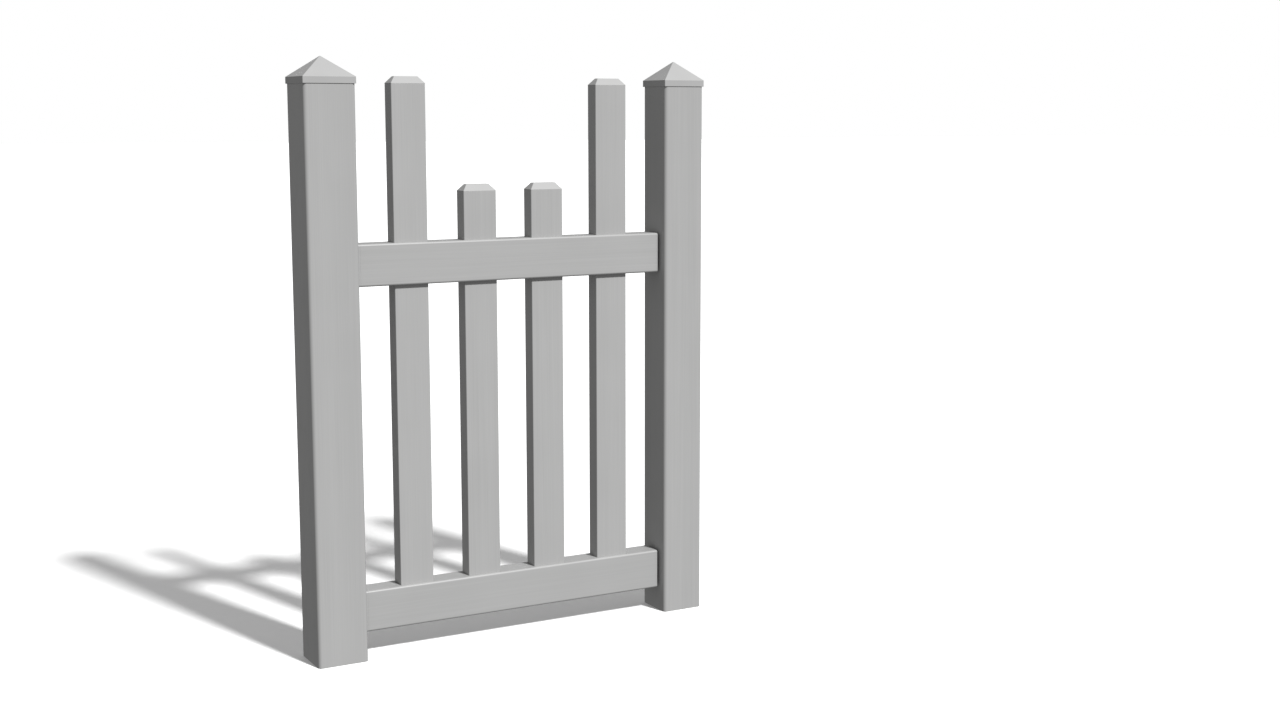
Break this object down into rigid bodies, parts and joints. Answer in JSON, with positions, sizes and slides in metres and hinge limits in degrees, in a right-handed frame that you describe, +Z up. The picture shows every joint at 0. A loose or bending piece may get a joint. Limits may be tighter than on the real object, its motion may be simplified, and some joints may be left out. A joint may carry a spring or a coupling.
{
  "type": "garden gate",
  "caption": "Picket garden gate: a grey hollow-section leaf with stepped chamfered pickets, hinged between two square capped posts, with a slide bolt.",
  "frame": {"origin": "on the ground, in the middle of the whole gate's footprint", "axes": "+X from the hinge post to the latch post, +Y to the rear, the side the leaf opens to, +Z up"},
  "size_m": [0.8544, 0.1024, 1.154],
  "materials": {
    "post": "satin extruded PVC, faint streaks along its length",
    "rail": "satin extruded PVC, faint streaks along its length",
    "picket": "satin extruded PVC, faint streaks along its length",
    "cap": "satin moulded PVC",
    "aluminium": "mill finish",
    "galvanised": "zinc plated, dull",
    "stainless": "plain stainless",
    "nylon": "natural nylon"
  },
  "bodies": {
    "posts": {"hinge_post": "post", "hinge_post_insert": "aluminium", "hinge_post_cap": "cap", "latch_post": "post", "latch_post_insert": "aluminium", "latch_post_cap": "cap", "upper_hinge_post_leaf": "galvanised", "lower_hinge_post_leaf": "galvanised", "upper_hinge_pin": "galvanised", "lower_hinge_pin": "galvanised", "upper_hinge_washer": "nylon", "lower_hinge_washer": "nylon", "keep": "galvanised", "hinge_post_screws": "stainless", "keep_screws": "stainless"},
    "leaf": {"top_rail": "rail", "bottom_rail": "rail", "top_rail_insert": "aluminium", "bottom_rail_insert": "aluminium", "top_rail_hinge_block": "rail", "bottom_rail_hinge_block": "rail", "top_rail_end_cap": "rail", "bottom_rail_end_cap": "rail", "picket_1": "picket", "picket_2": "picket", "picket_3": "picket", "picket_4": "picket", "picket_cap_1": "cap", "picket_cap_2": "cap", "picket_cap_3": "cap", "picket_cap_4": "cap", "upper_hinge_gate_leaf": "galvanised", "lower_hinge_gate_leaf": "galvanised", "bolt_plate": "galvanised", "hinge_gate_screws": "stainless", "picket_screws": "stainless", "block_screws": "stainless", "bolt_screws": "stainless"},
    "slide_bolt": {"bolt": "galvanised", "bolt_knob": "galvanised"}
  },
  "joints": [
    {"name": "gate_swing", "type": "hinge", "parent": "posts", "child": "leaf", "pos_m": [-0.321, 0.033, 0], "axis": [0, 0, 1], "range_deg": [0, 110]},
    {"name": "bolt_slide", "type": "slide", "parent": "leaf", "child": "slide_bolt", "axis": [1, 0, 0], "range_m": [0, 0.02]}
  ]
}
